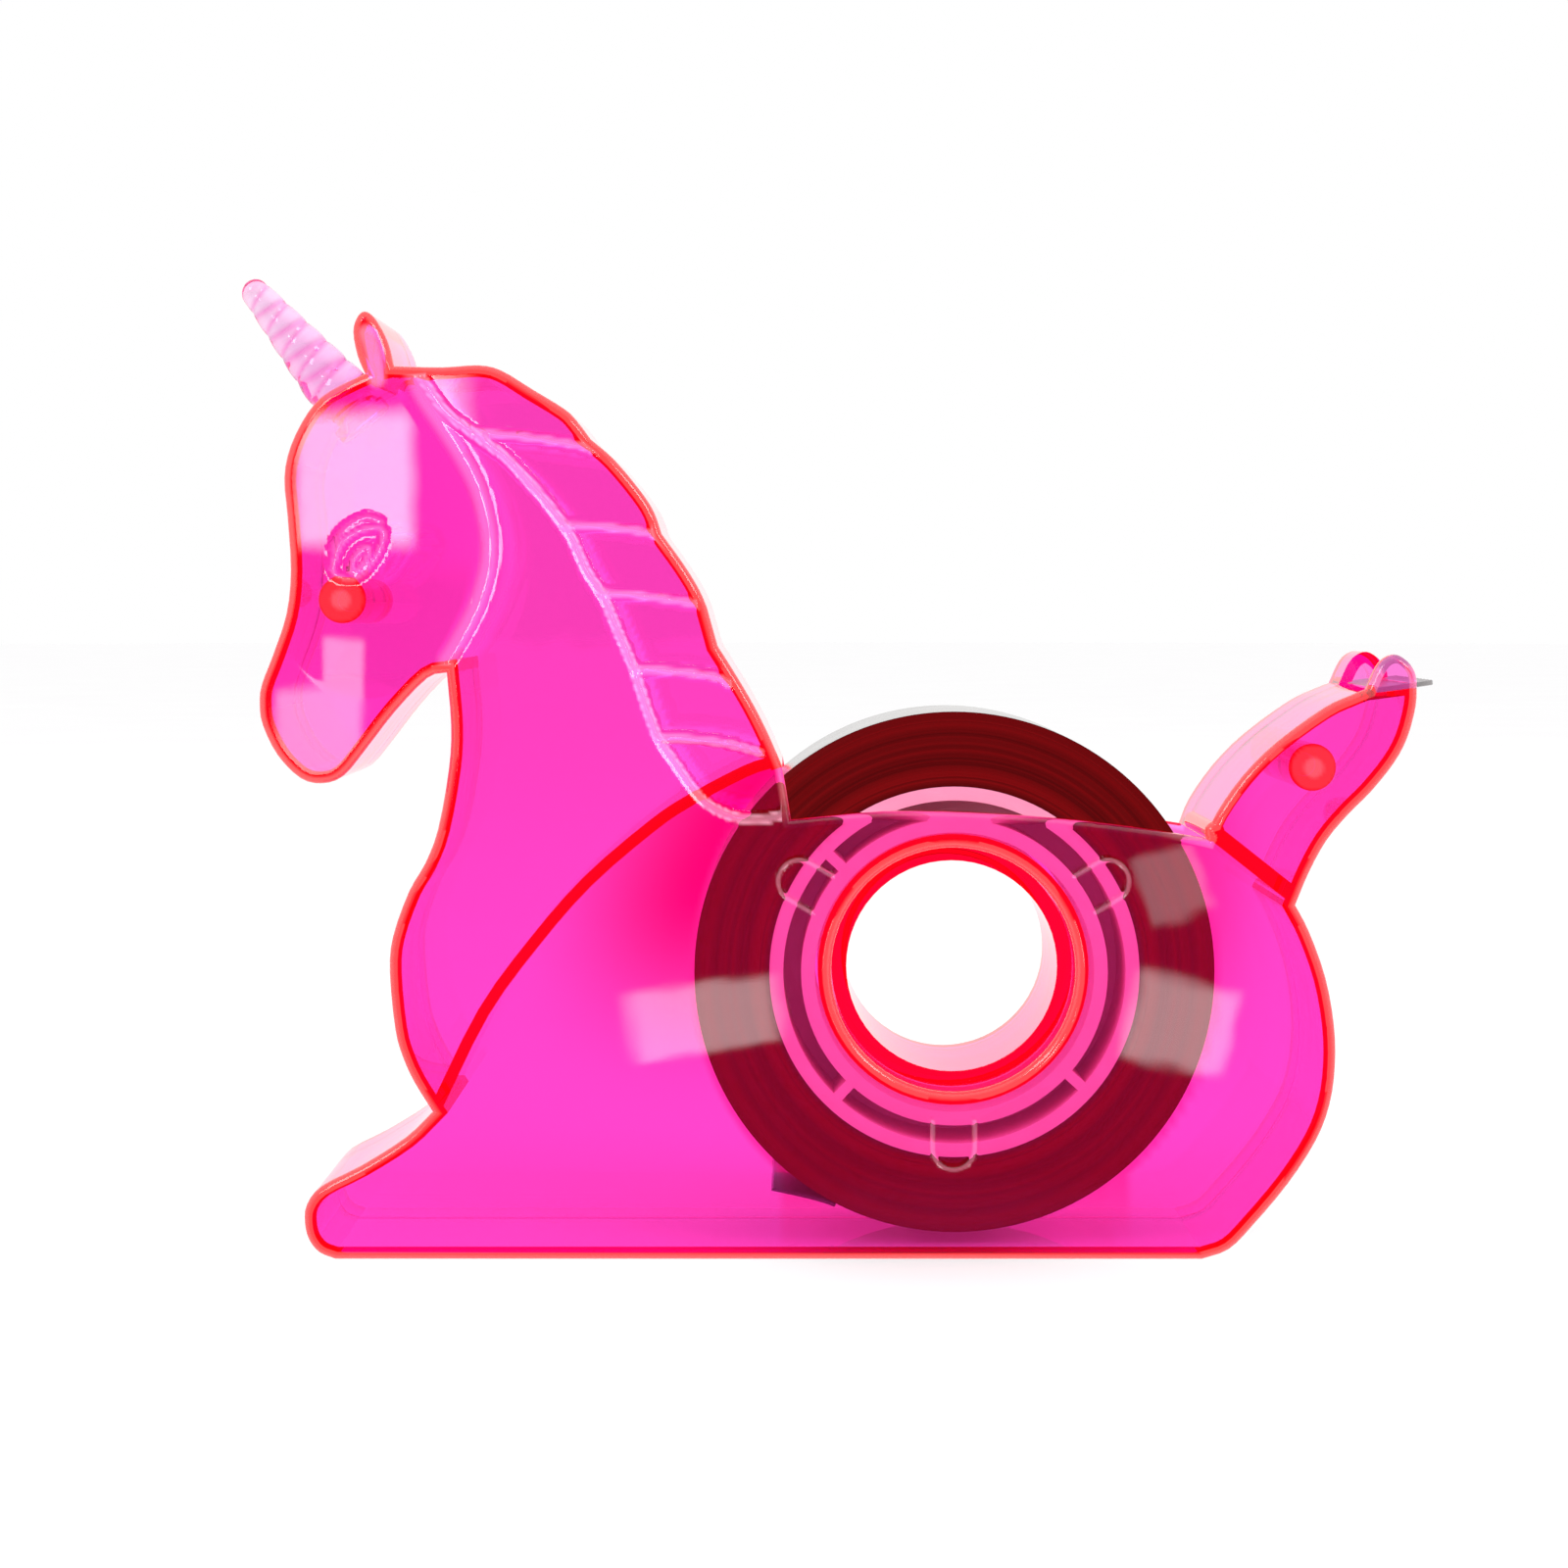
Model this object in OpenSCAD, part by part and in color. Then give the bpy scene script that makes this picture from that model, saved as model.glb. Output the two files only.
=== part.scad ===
// Desk tape dispenser shaped like a unicorn.
// Two clear moulded halves close round a tape roll. The roll turns on the hub
// of the front shell, the horn and the cutter blade are held by the front shell,
// and the back cover pulls straight off to the rear.
// Frame: +X to the tail, +Y to the back, +Z up, base on Z = 0.

/* [Body] */
// Length from the muzzle to the tail, without horn and blade
body_length = 107.6; // [100:0.2:130]
// Thickness of the two side plates
plate_t = 1.5; // [1.2:0.1:2]
// Thickness of the walls round the edge
wall_t = 1.1; // [0.9:0.1:1.5]
// Thickness of the wall between the head and the tape bay
divider_t = 1.1; // [0.9:0.1:1.5]
// Thickness of the wall between the tape bay and the tail
tail_base_t = 1.5; // [1:0.1:2]
// Depth of the back cover, from its outer face to the parting plane
cover_depth = 6.6; // [5:0.2:8]

/* [Tape roll] */
// Width of the tape and of its core
tape_w = 18; // [12:0.5:25]
// Outer diameter of the wound tape
roll_od = 48.5; // [38:0.5:49]
// Bore of the tape core
core_id = 26; // [25.6:0.1:26.4]
// Outer diameter of the tape core
core_od = 34.5; // [33:0.5:36]
// Thickness of the core's two rings
core_ring_t = 1.3; // [0.8:0.1:1.6]
// Thickness of the disc between the core's rings
core_web_t = 1.2; // [0.8:0.1:4]
// Thickness of the four spokes of the core
core_spoke_t = 1; // [0.6:0.1:2]
// Thickness of the folded tab at the start of the tape
lead_tab_t = 0.35; // [0.1:0.05:0.4]

/* [Hub] */
// Outer diameter of the hub tube that carries the roll
hub_od = 25.2; // [24.8:0.1:25.2]
// Wall of the hub tube
hub_wall = 1.25; // [1:0.05:1.6]
// Wall of the cover's tube inside the hub tube
inner_tube_wall = 1.4; // [1:0.1:2]
// Distance of the inner tube's end from the front face
inner_tube_setback = 3.8; // [2:0.1:8]

/* [Locating posts] */
// Outer diameter of the two posts
post_od = 4.4; // [4:0.2:6]
// Bore of the two sockets
socket_d = 2.2; // [1.6:0.1:2.6]
// Length of the cover's pins inside the sockets
pin_length = 6; // [3:0.5:9]

/* [Horn] */
// Length from the head's surface to the centre of the round tip
horn_length = 13.1; // [8:0.1:20]
// Diameter at the head
horn_base_d = 6.2; // [5.6:0.1:7]
// Diameter of the round tip
horn_tip_d = 2.8; // [2:0.1:4]
// Diameter of the neck that sits in the head's slot
horn_neck_d = 4.4; // [3:0.1:4.8]
// Number of ridges along the horn
horn_ridges = 5; // [3:1:8]

/* [Cutter blade] */
// Thickness of the blade
blade_t = 0.5; // [0.3:0.1:0.8]
// Length of the blade's flat part
blade_seat = 3.8; // [2.5:0.1:4.2]
// How far the teeth stand out past the tail
blade_reach = 1.8; // [1:0.1:2.5]
// Distance between neighbouring teeth
tooth_pitch = 1.5; // [1:0.1:2.5]

/* [Fits] */
// Gap between each side of the roll and the plates
side_gap = 0.5; // [0.3:0.1:1]
// Radial clearance of pins, nested tubes and the horn's neck
running_gap = 0.05; // [0.02:0.01:0.1]
// Gap between the two halves' walls
parting_gap = 0.1; // [0.05:0.05:0.3]
// Gap between the blade's ends and the plates
blade_gap = 0.1; // [0.05:0.05:0.3]

/* [Hidden] */
$fn = 96;
eps = 0.01;

clear_pink = [1, 0.36, 0.78, 0.55];
horn_pink = [1, 0.75, 0.94, 0.6];
steel = [0.55, 0.54, 0.55];
core_pink = [1, 0.45, 0.68, 0.8];
tape_maroon = [0.45, 0.02, 0.08];
tab_purple = [0.25, 0.16, 0.3];

// Depths, measured from the front face
depth = tape_w + 2 * side_gap + 2 * plate_t;
parting = depth - cover_depth;
cover_front = parting + parting_gap;
mid_depth = depth / 2;
roll_front = plate_t + side_gap;

// The outline is drawn 107.6 long and is enlarged with the body
drawn_length = 107.6;
grow = body_length / drawn_length;

// Outline, clockwise from the notch at the chest, X to the tail and Y up
chest = [[-36.9, 13.7], [-38.6, 16.4], [-39.7, 18.8], [-40.4, 21.4], [-40.9, 26.6],
         [-40.6, 30], [-39.1, 34.2], [-37.6, 36.8], [-36.4, 40], [-35.4, 45.6],
         [-35.2, 49.6], [-35.6, 54.5]];
muzzle = [[-35.6, 54.5], [-37.4, 54], [-40.4, 50.9], [-43.1, 47.4], [-45.2, 44.9],
          [-47.2, 44.2], [-49.2, 44.7], [-51.3, 46.8], [-52.7, 49.6], [-53, 51.6],
          [-52.8, 53.4], [-51.7, 56.3], [-50.5, 60], [-50.1, 64], [-50.4, 69],
          [-50.7, 72.6], [-50.1, 75.6], [-48.5, 78.7], [-46.6, 80.6], [-43.2, 82.3]];
ear = [[-43.2, 82.3], [-43.9, 84], [-44.3, 86.2], [-43.9, 87.6], [-43.2, 88.1],
       [-42.3, 87.5], [-41.3, 85.8], [-40.8, 84.4], [-40.5, 83]];
crown = [[-40.5, 83], [-36, 82.9], [-32.7, 83.1], [-30.5, 82.6], [-27.7, 80.9],
         [-24.6, 79], [-23.4, 77.8], [-22.2, 76.2]];
lock_1 = [[-22.2, 76.2], [-20, 74.3], [-17.5, 71.3], [-16.3, 69.4], [-15.6, 67.4]];
lock_2 = [[-15.6, 67.4], [-13.5, 64.5], [-12.1, 62.2], [-11.4, 60.6]];
lock_3 = [[-11.4, 60.6], [-10.9, 58.8], [-10.4, 57]];
lock_4 = [[-10.4, 57], [-8.7, 54.3], [-7, 51.4], [-5.6, 48.6], [-4.4, 45.8]];
lock_end = [[-4.4, 45.8], [-4, 43.4], [-3.6, 40.8]];
bay_edge = [[-3.6, 40.8], [5, 41.6], [13.3, 41.5], [21.8, 40.9], [28.5, 40.1], [35, 39.1]];
tail_top = [[35, 39.1], [36, 41.5], [38.4, 44.9], [41.5, 48], [45.9, 51.2], [48.4, 52.4],
            [49.9, 53]];
lobe = [[49.9, 53], [50.7, 54.8], [51.5, 55.8], [52.6, 56.2], [53.7, 55.6], [54.4, 54.6],
        [54.6, 53.6]];
tail_back = [[54.6, 53.6], [54.5, 51.4], [53.7, 48.4], [52.4, 46], [50.3, 43.4],
             [48.2, 41.3], [46.2, 38.9], [44.6, 36], [43.3, 32.9]];
rump = [[43.3, 32.9], [44.6, 30.4], [46.1, 26.2], [46.9, 21.8], [47, 18], [46.5, 14.4],
        [45.2, 11], [42.6, 7], [39.4, 3.2], [37.1, 0.9], [34.6, 0]];
sole = [[34.6, 0], [-45.9, 0]];
foot = [[-45.9, 0], [-47.4, 0.6], [-48.4, 1.8], [-48.8, 3.4], [-48.6, 5.1], [-47.2, 6.8],
        [-43.5, 8.7], [-39.4, 11.3], [-36.9, 13.7]];
// Middle lines of the two inner walls
divider_line = [[-36.6, 14], [-32.2, 22.9], [-27.4, 29.5], [-22.5, 35.1], [-16.7, 40.1],
                [-13.2, 42.5], [-7.9, 45.3], [-5.3, 46.2]];
tail_base_line = [[36.2, 39.3], [42.9, 34]];
// Foot of the ear inside the head's wall, and the hollow of the ear
ear_foot = [[-39.9, 82.6], [-39.9, 82.1], [-43.3, 81.3], [-44.2, 81.4]];
ear_hollow = [[-42.6, 80.8], [-42.7, 82.9], [-43, 84.2], [-43.3, 86], [-43, 86.8],
              [-42.4, 86.2], [-41.8, 84.6], [-41.5, 83.1], [-41.4, 80.8]];

hub_at = [11.5, 26.9] * grow;
head_post_at = [-45.3, 61.3] * grow;
tail_post_at = [44.9, 45.7] * grow;
tail_nose_at = [35.8, 39.7] * grow;
tail_nose_r = tail_base_t / 2 + 0.2;
horn_root = [-46.6, 80.7] * grow;
horn_angle = 130;
// The blade lies on the straight landing between the tail's two curves
blade_heel = tail_top[6] * grow;
blade_nose = tail_back[0] * grow;

hub_r = hub_od / 2;
hub_bore_r = hub_r - hub_wall;
inner_tube_r = hub_bore_r - running_gap;
inner_bore_r = inner_tube_r - inner_tube_wall;
hub_length = depth - plate_t - side_gap;

// The roll hangs on the hub and keeps a running gap on the side where it touches
roll_hang = core_id / 2 - hub_r - running_gap;
roll_lean = 25;
roll_at = hub_at + roll_hang * [sin(roll_lean), -cos(roll_lean)];
spoke_angles = [47, 137, 227, 318];
tab_start = 225;
tab_sweep = 18;

pin_r = socket_d / 2 - running_gap;
socket_slack = 0.5;

horn_neck_r = horn_neck_d / 2;
horn_slot_r = horn_neck_r + running_gap;
horn_flange_r = horn_base_d / 2 - 0.3;
horn_flange_t = 1.2;
horn_sink = 0.5;
ridge_h = 0.25;
tongue_w = 2 * horn_neck_r - 0.3;

blade_w = tape_w + 2 * side_gap - 2 * blade_gap;
blade_tilt = atan2(blade_nose[1] - blade_heel[1], blade_nose[0] - blade_heel[0]);
tooth_count = floor(blade_w / tooth_pitch);
tooth_w = blade_w / tooth_count;

// Smooth curve through points: steps stretches between neighbours
steps = 3;
function blend(a, b, c, d, t) =
    0.5 * (2 * b + (c - a) * t + (2 * a - 5 * b + 4 * c - d) * t * t
           + (3 * b - a - 3 * c + d) * t * t * t);
function before(p, i) = i > 0 ? p[i - 1] : 2 * p[0] - p[1];
function after(p, i) = i < len(p) ? p[i] : 2 * p[len(p) - 1] - p[len(p) - 2];
function smooth(p) = [
    for (i = [0 : len(p) - 2], k = [0 : steps - 1])
        grow * blend(before(p, i), p[i], p[i + 1], after(p, i + 2), k / steps),
    grow * p[len(p) - 1]];
function straight(p) = [for (q = p) grow * q];
// Several curves end to end, without the shared points
function chain(curves) = [
    for (i = [0 : len(curves) - 1], k = [0 : len(curves[i]) - 1])
        if (i == len(curves) - 1 || k < len(curves[i]) - 1) curves[i][k]];
function unit(v) = v / norm(v);
function right_of(v) = [v[1], -v[0]];
function reversed(p) = [for (i = [len(p) - 1 : -1 : 0]) p[i]];
// A line moved to its right by distance d, with mitred corners
function moved(p, d) = [
    for (i = [0 : len(p) - 1])
        let (back = unit(i > 0 ? p[i] - p[i - 1] : p[1] - p[0]),
             ahead = unit(i < len(p) - 1 ? p[i + 1] - p[i] : p[i] - p[i - 1]),
             side = unit(right_of(back) + right_of(ahead)))
        p[i] + side * d / max(0.6, side * right_of(back))];

front_edge = chain([smooth(rump), straight(sole), smooth(foot), smooth(chest),
                    smooth(muzzle)]);
mane_edge = chain([smooth(crown), smooth(lock_1), smooth(lock_2), smooth(lock_3),
                   smooth(lock_4)]);
plate_outline = chain([
    front_edge, smooth(ear), mane_edge, smooth(lock_end), smooth(bay_edge),
    smooth(tail_top), smooth(lobe), smooth(tail_back)]);
landing_end = blade_nose - 0.4 * unit(blade_nose - blade_heel);
tail_roof = chain([smooth(tail_top), [blade_heel, landing_end]]);
low_edge = chain([smooth(tail_back), front_edge]);

// Places a drawing, whose third axis is the depth from the front face, in the frame
module upright() {
    translate([0, -depth / 2, 0]) rotate([90, 0, 0]) mirror([0, 0, 1]) children();
}
module slab(points, low, high) {
    translate([0, 0, low]) linear_extrude(height = high - low) polygon(points);
}
module disc(at, r, low, high) {
    translate([at[0], at[1], low]) cylinder(r = r, h = high - low);
}
module tube(at, r, bore_r, low, high) {
    difference() {
        disc(at, r, low, high);
        disc(at, bore_r, low - eps, high + eps);
    }
}
module wall(edge, t, low, high) {
    slab(concat(edge, reversed(moved(edge, t))), low, high);
}
module inner_wall(line, t, low, high) {
    slab(concat(moved(line, -t / 2), reversed(moved(line, t / 2))), low, high);
}
module ear_wall(low, high) {
    difference() {
        slab(concat(smooth(ear), straight(ear_foot)), low, high);
        slab(straight(ear_hollow), low - eps, high + eps);
    }
}
// Walls that both halves share
module shared_walls(low, high) {
    wall(mane_edge, wall_t, low, high);
    ear_wall(low, high);
    inner_wall(smooth(divider_line), divider_t, low, high);
    inner_wall(straight(tail_base_line), tail_base_t, low, high);
}
// Frame of the horn: origin on its axis at the head's surface, Z to the tip
module on_horn() {
    translate([horn_root[0], horn_root[1], mid_depth])
        rotate([0, 0, horn_angle]) rotate([0, 90, 0]) children();
}
module horn_slot() {
    on_horn() translate([0, 0, -4]) {
        cylinder(r = horn_slot_r, h = 5);
        translate([-(parting - mid_depth) - 1, -horn_slot_r + eps, 0])
            cube([parting - mid_depth + 1, 2 * (horn_slot_r - eps), 5]);
    }
}

// Frame of the blade: X along the landing to the teeth, Y square to it, origin at the nose
module on_landing() {
    translate([blade_nose[0], blade_nose[1], 0]) rotate([0, 0, blade_tilt]) children();
}
// Recess between the plates that holds the blade flush with the tail's top
module blade_pocket() {
    on_landing() translate([-blade_seat, -blade_t, plate_t])
        cube([blade_seat + blade_reach, blade_t + blade_gap, depth - 2 * plate_t]);
}

module front_shell() {
    color(clear_pink) upright() difference() {
        union() {
            slab(plate_outline, 0, plate_t);
            shared_walls(0, parting);
            wall(low_edge, wall_t, 0, parting);
            wall(tail_roof, wall_t, 0, parting);
            disc(hub_at, hub_r, 0, hub_length);
            disc(head_post_at, post_od / 2, 0, parting);
            disc(tail_post_at, post_od / 2, 0, parting);
            disc(tail_nose_at, tail_nose_r, 0, parting);
        }
        disc(hub_at, hub_bore_r, -eps, hub_length + eps);
        disc(head_post_at, socket_d / 2, parting - pin_length - socket_slack, parting + eps);
        disc(tail_post_at, socket_d / 2, parting - pin_length - socket_slack, parting + eps);
        horn_slot();
        blade_pocket();
    }
}

module back_cover() {
    color(clear_pink) upright() {
        difference() {
            union() {
                slab(plate_outline, depth - plate_t, depth);
                shared_walls(cover_front, depth);
                wall(chain([smooth(tail_top), smooth(lobe), low_edge]), wall_t,
                     cover_front, depth);
                disc(hub_at, inner_tube_r, inner_tube_setback, depth);
                disc(head_post_at, post_od / 2, cover_front, depth);
                disc(tail_post_at, post_od / 2, cover_front, depth);
            }
            disc(hub_at, inner_bore_r, inner_tube_setback - eps, depth + eps);
            blade_pocket();
        }
        for (at = [head_post_at, tail_post_at])
            disc(at, pin_r, parting - pin_length, depth - plate_t);
        // Tongue that closes the horn's slot behind its neck
        on_horn() translate([-(cover_front - mid_depth) - 1, -tongue_w / 2, -wall_t])
            cube([cover_front - mid_depth - horn_neck_r + 0.9, tongue_w, wall_t - 0.2]);
    }
}

// Radius of the horn at distance s from the head, with rounded ridges
function horn_r(s) =
    let (share = s / horn_length)
    horn_base_d / 2 - ridge_h + (horn_tip_d - horn_base_d + 2 * ridge_h) / 2 * share
    + ridge_h * abs(sin(180 * horn_ridges * share)) * (1 - 0.5 * share);

module horn() {
    rings = 6 * horn_ridges;
    profile = concat(
        [[0, 0], [horn_neck_r, 0]],
        [for (i = [0 : rings]) [horn_r(i * horn_length / rings), i * horn_length / rings
                                + (i == 0 ? horn_sink : 0)]],
        [for (a = [15 : 15 : 75]) [horn_tip_d / 2 * cos(a), horn_length
                                   + horn_tip_d / 2 * sin(a)]],
        [[0, horn_length + horn_tip_d / 2]]);
    color(horn_pink) upright() on_horn() {
        rotate_extrude() polygon(profile);
        translate([0, 0, -2.4]) cylinder(r = horn_neck_r, h = 2.4 + horn_sink);
        translate([0, 0, -2.4 - horn_flange_t]) cylinder(r = horn_flange_r, h = horn_flange_t);
    }
}

module cutter_blade() {
    tooth_l = blade_reach / cos(blade_tilt);
    teeth = [for (i = [0 : tooth_count - 1])
             each [[0, i * tooth_w], [tooth_l, (i + 0.5) * tooth_w]], [0, blade_w]];
    color(steel) upright() on_landing()
        translate([0, 0, plate_t + blade_gap]) rotate([-90, 0, 0]) mirror([0, 1, 0])
            translate([0, 0, -blade_t]) linear_extrude(height = blade_t)
                polygon(concat([[-blade_seat, blade_w], [-blade_seat, 0]], teeth));
}

module roll_frame() {
    upright() translate([roll_at[0], roll_at[1], roll_front]) children();
}
module ring(r, bore_r, low, high) {
    tube([0, 0], r, bore_r, low, high);
}

module tape_core() {
    bore_r = core_id / 2;
    rim_r = core_od / 2;
    color(core_pink) roll_frame() {
        ring(bore_r + core_ring_t, bore_r, 0, tape_w);
        ring(rim_r, rim_r - core_ring_t, 0, tape_w);
        ring(rim_r - core_ring_t / 2, bore_r + core_ring_t / 2,
             (tape_w - core_web_t) / 2, (tape_w + core_web_t) / 2);
        for (angle = spoke_angles) rotate([0, 0, angle])
            translate([bore_r + core_ring_t / 2, -core_spoke_t / 2, 0])
                cube([rim_r - bore_r - core_ring_t, core_spoke_t, tape_w]);
    }
}

module tape_roll() {
    color(tape_maroon) roll_frame() ring(roll_od / 2, core_od / 2, 0, tape_w);
}

// Doubled-over start of the tape, lying on the roll's outside
module tape_lead_tab() {
    r = roll_od / 2;
    color(tab_purple) roll_frame() rotate([0, 0, tab_start])
        rotate_extrude(angle = tab_sweep) translate([r, 0]) square([lead_tab_t, tape_w]);
}

front_shell();
back_cover();
horn();
cutter_blade();
tape_core();
tape_roll();
tape_lead_tab();
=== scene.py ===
import logging
import math
from dataclasses import dataclass
from enum import Enum
from typing import Sequence

import bmesh
import bpy
import numpy as np
from bmesh.types import BMFace, BMVert, BMesh
from bpy.types import Material, Node, NodeSocket, NodeTree, Object
from mathutils import Matrix, Vector


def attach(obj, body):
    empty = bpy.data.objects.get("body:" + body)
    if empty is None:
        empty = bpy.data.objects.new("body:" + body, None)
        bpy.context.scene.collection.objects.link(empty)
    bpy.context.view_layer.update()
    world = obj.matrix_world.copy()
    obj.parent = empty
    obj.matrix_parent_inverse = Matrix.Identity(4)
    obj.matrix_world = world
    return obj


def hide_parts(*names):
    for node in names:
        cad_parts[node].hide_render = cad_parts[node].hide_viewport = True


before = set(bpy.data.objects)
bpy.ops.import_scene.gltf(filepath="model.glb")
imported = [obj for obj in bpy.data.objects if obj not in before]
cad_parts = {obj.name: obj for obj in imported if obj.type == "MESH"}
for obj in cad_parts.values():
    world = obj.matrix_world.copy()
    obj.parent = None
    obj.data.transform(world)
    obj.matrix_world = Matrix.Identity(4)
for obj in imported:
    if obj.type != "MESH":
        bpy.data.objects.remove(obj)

LOG = logging.getLogger("dispenser")
MM = 0.001
Point = tuple[float, float]
# Vertex attributes of the clear pieces, all painted light: a painted highlight on moulded lines, a
# painted dark tint where the plastic would mirror the dark roll and in the horn's thread valleys,
# and a painted glow where a rim would let out the light that ran along its wall
HIGHLIGHT_PAINT = "painted_highlight"
DARK_TINT_PAINT = "painted_dark_tint"
RIM_GLOW_PAINT = "painted_rim_glow"
# Middle of the object, in mm
MIDDLE = (0.0, 0.0, 45.0)
# Axis of the hub, and of the roll that hangs on it a little lower: X and Z in mm
HUB: Point = (11.5, 26.9)
ROLL_CENTRE: Point = (11.648, 26.583)
ROLL_OUTER_R = 24.25
ROLL_INNER_R = 17.25


class Body(Enum):
    """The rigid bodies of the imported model."""

    SHELL = "body"
    COVER = "cover"
    ROLL = "roll"


# ---- small tools


def mm(*values: float) -> Vector:
    """A vector in metres from millimetres."""
    return Vector(values) * MM


def linear(hex_colour: str) -> tuple[float, float, float, float]:
    """Turn an sRGB hex colour into linear values.

    Args:
        hex_colour: six hex digits, with or without a leading #.

    Returns:
        Linear red, green, blue and an alpha of 1.
    """
    digits = hex_colour.lstrip("#")
    channels = [int(digits[i:i + 2], 16) / 255 for i in (0, 2, 4)]
    curve = [c / 12.92 if c <= 0.04045 else ((c + 0.055) / 1.055) ** 2.4 for c in channels]
    return (curve[0], curve[1], curve[2], 1.0)


def add_node(tree: NodeTree, kind: str, settings: dict | None = None,
             inputs: dict | None = None) -> Node:
    """Add one node to a tree.

    Args:
        tree: the node tree.
        kind: the node's type name.
        settings: attributes of the node.
        inputs: input socket name or number to a value, or to an output socket to link.

    Returns:
        The new node.
    """
    node = tree.nodes.new(kind)
    for name, value in (settings or {}).items():
        setattr(node, name, value)
    for name, value in (inputs or {}).items():
        if isinstance(value, NodeSocket):
            tree.links.new(value, node.inputs[name])
        else:
            node.inputs[name].default_value = value
    return node


def new_material(name: str) -> tuple[Material, NodeTree, Node]:
    """Make an empty node material.

    Args:
        name: the material's name.

    Returns:
        The material, its node tree and its output node.
    """
    material = bpy.data.materials.new(name)
    material.use_nodes = True
    tree = material.node_tree
    tree.nodes.clear()
    return material, tree, tree.nodes.new("ShaderNodeOutputMaterial")


def finish_mesh(bm: BMesh, name: str, materials: Sequence[Material],
                smooth_angle: float = 35.0) -> Object:
    """Write a bmesh to a new object at the origin, shaded smooth up to an angle.

    Args:
        bm: the mesh, in metres. It is freed.
        name: the object's name.
        materials: its material slots in order.
        smooth_angle: edges sharper than this many degrees stay sharp.

    Returns:
        The new object.
    """
    mesh = bpy.data.meshes.new(name)
    limit = math.radians(smooth_angle)
    for face in bm.faces:
        face.smooth = True
    for edge in bm.edges:
        edge.smooth = len(edge.link_faces) == 2 and edge.calc_face_angle(0.0) < limit
    bm.to_mesh(mesh)
    bm.free()
    for material in materials:
        mesh.materials.append(material)
    piece = bpy.data.objects.new(name, mesh)
    bpy.context.scene.collection.objects.link(piece)
    return piece


def merged_copy(node: str) -> BMesh:
    """A CAD node's mesh as a bmesh with shared corners and whole flat faces.

    Args:
        node: the CAD node's name.

    Returns:
        The bmesh, in metres.
    """
    bm = bmesh.new()
    bm.from_mesh(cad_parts[node].data)
    bmesh.ops.remove_doubles(bm, verts=bm.verts, dist=0.002 * MM)
    bmesh.ops.dissolve_limit(bm, angle_limit=math.radians(0.4), use_dissolve_boundaries=False,
                             verts=bm.verts, edges=bm.edges)
    return bm


def bevel_sharp(bm: BMesh, width_mm: float, segments: int, sharper_than: float = 38.0) -> None:
    """Round the sharp edges.

    Args:
        bm: the mesh.
        width_mm: the bevel's width.
        segments: the bevel's segments.
        sharper_than: only edges with more than this angle, in degrees.
    """
    limit = math.radians(sharper_than)
    edges = [e for e in bm.edges if len(e.link_faces) == 2 and e.calc_face_angle(0.0) > limit]
    bmesh.ops.bevel(bm, geom=edges, offset=width_mm * MM, offset_type="OFFSET",
                    segments=segments, profile=0.5, affect="EDGES", clamp_overlap=True,
                    material=-1)


# ---- finishes


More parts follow.
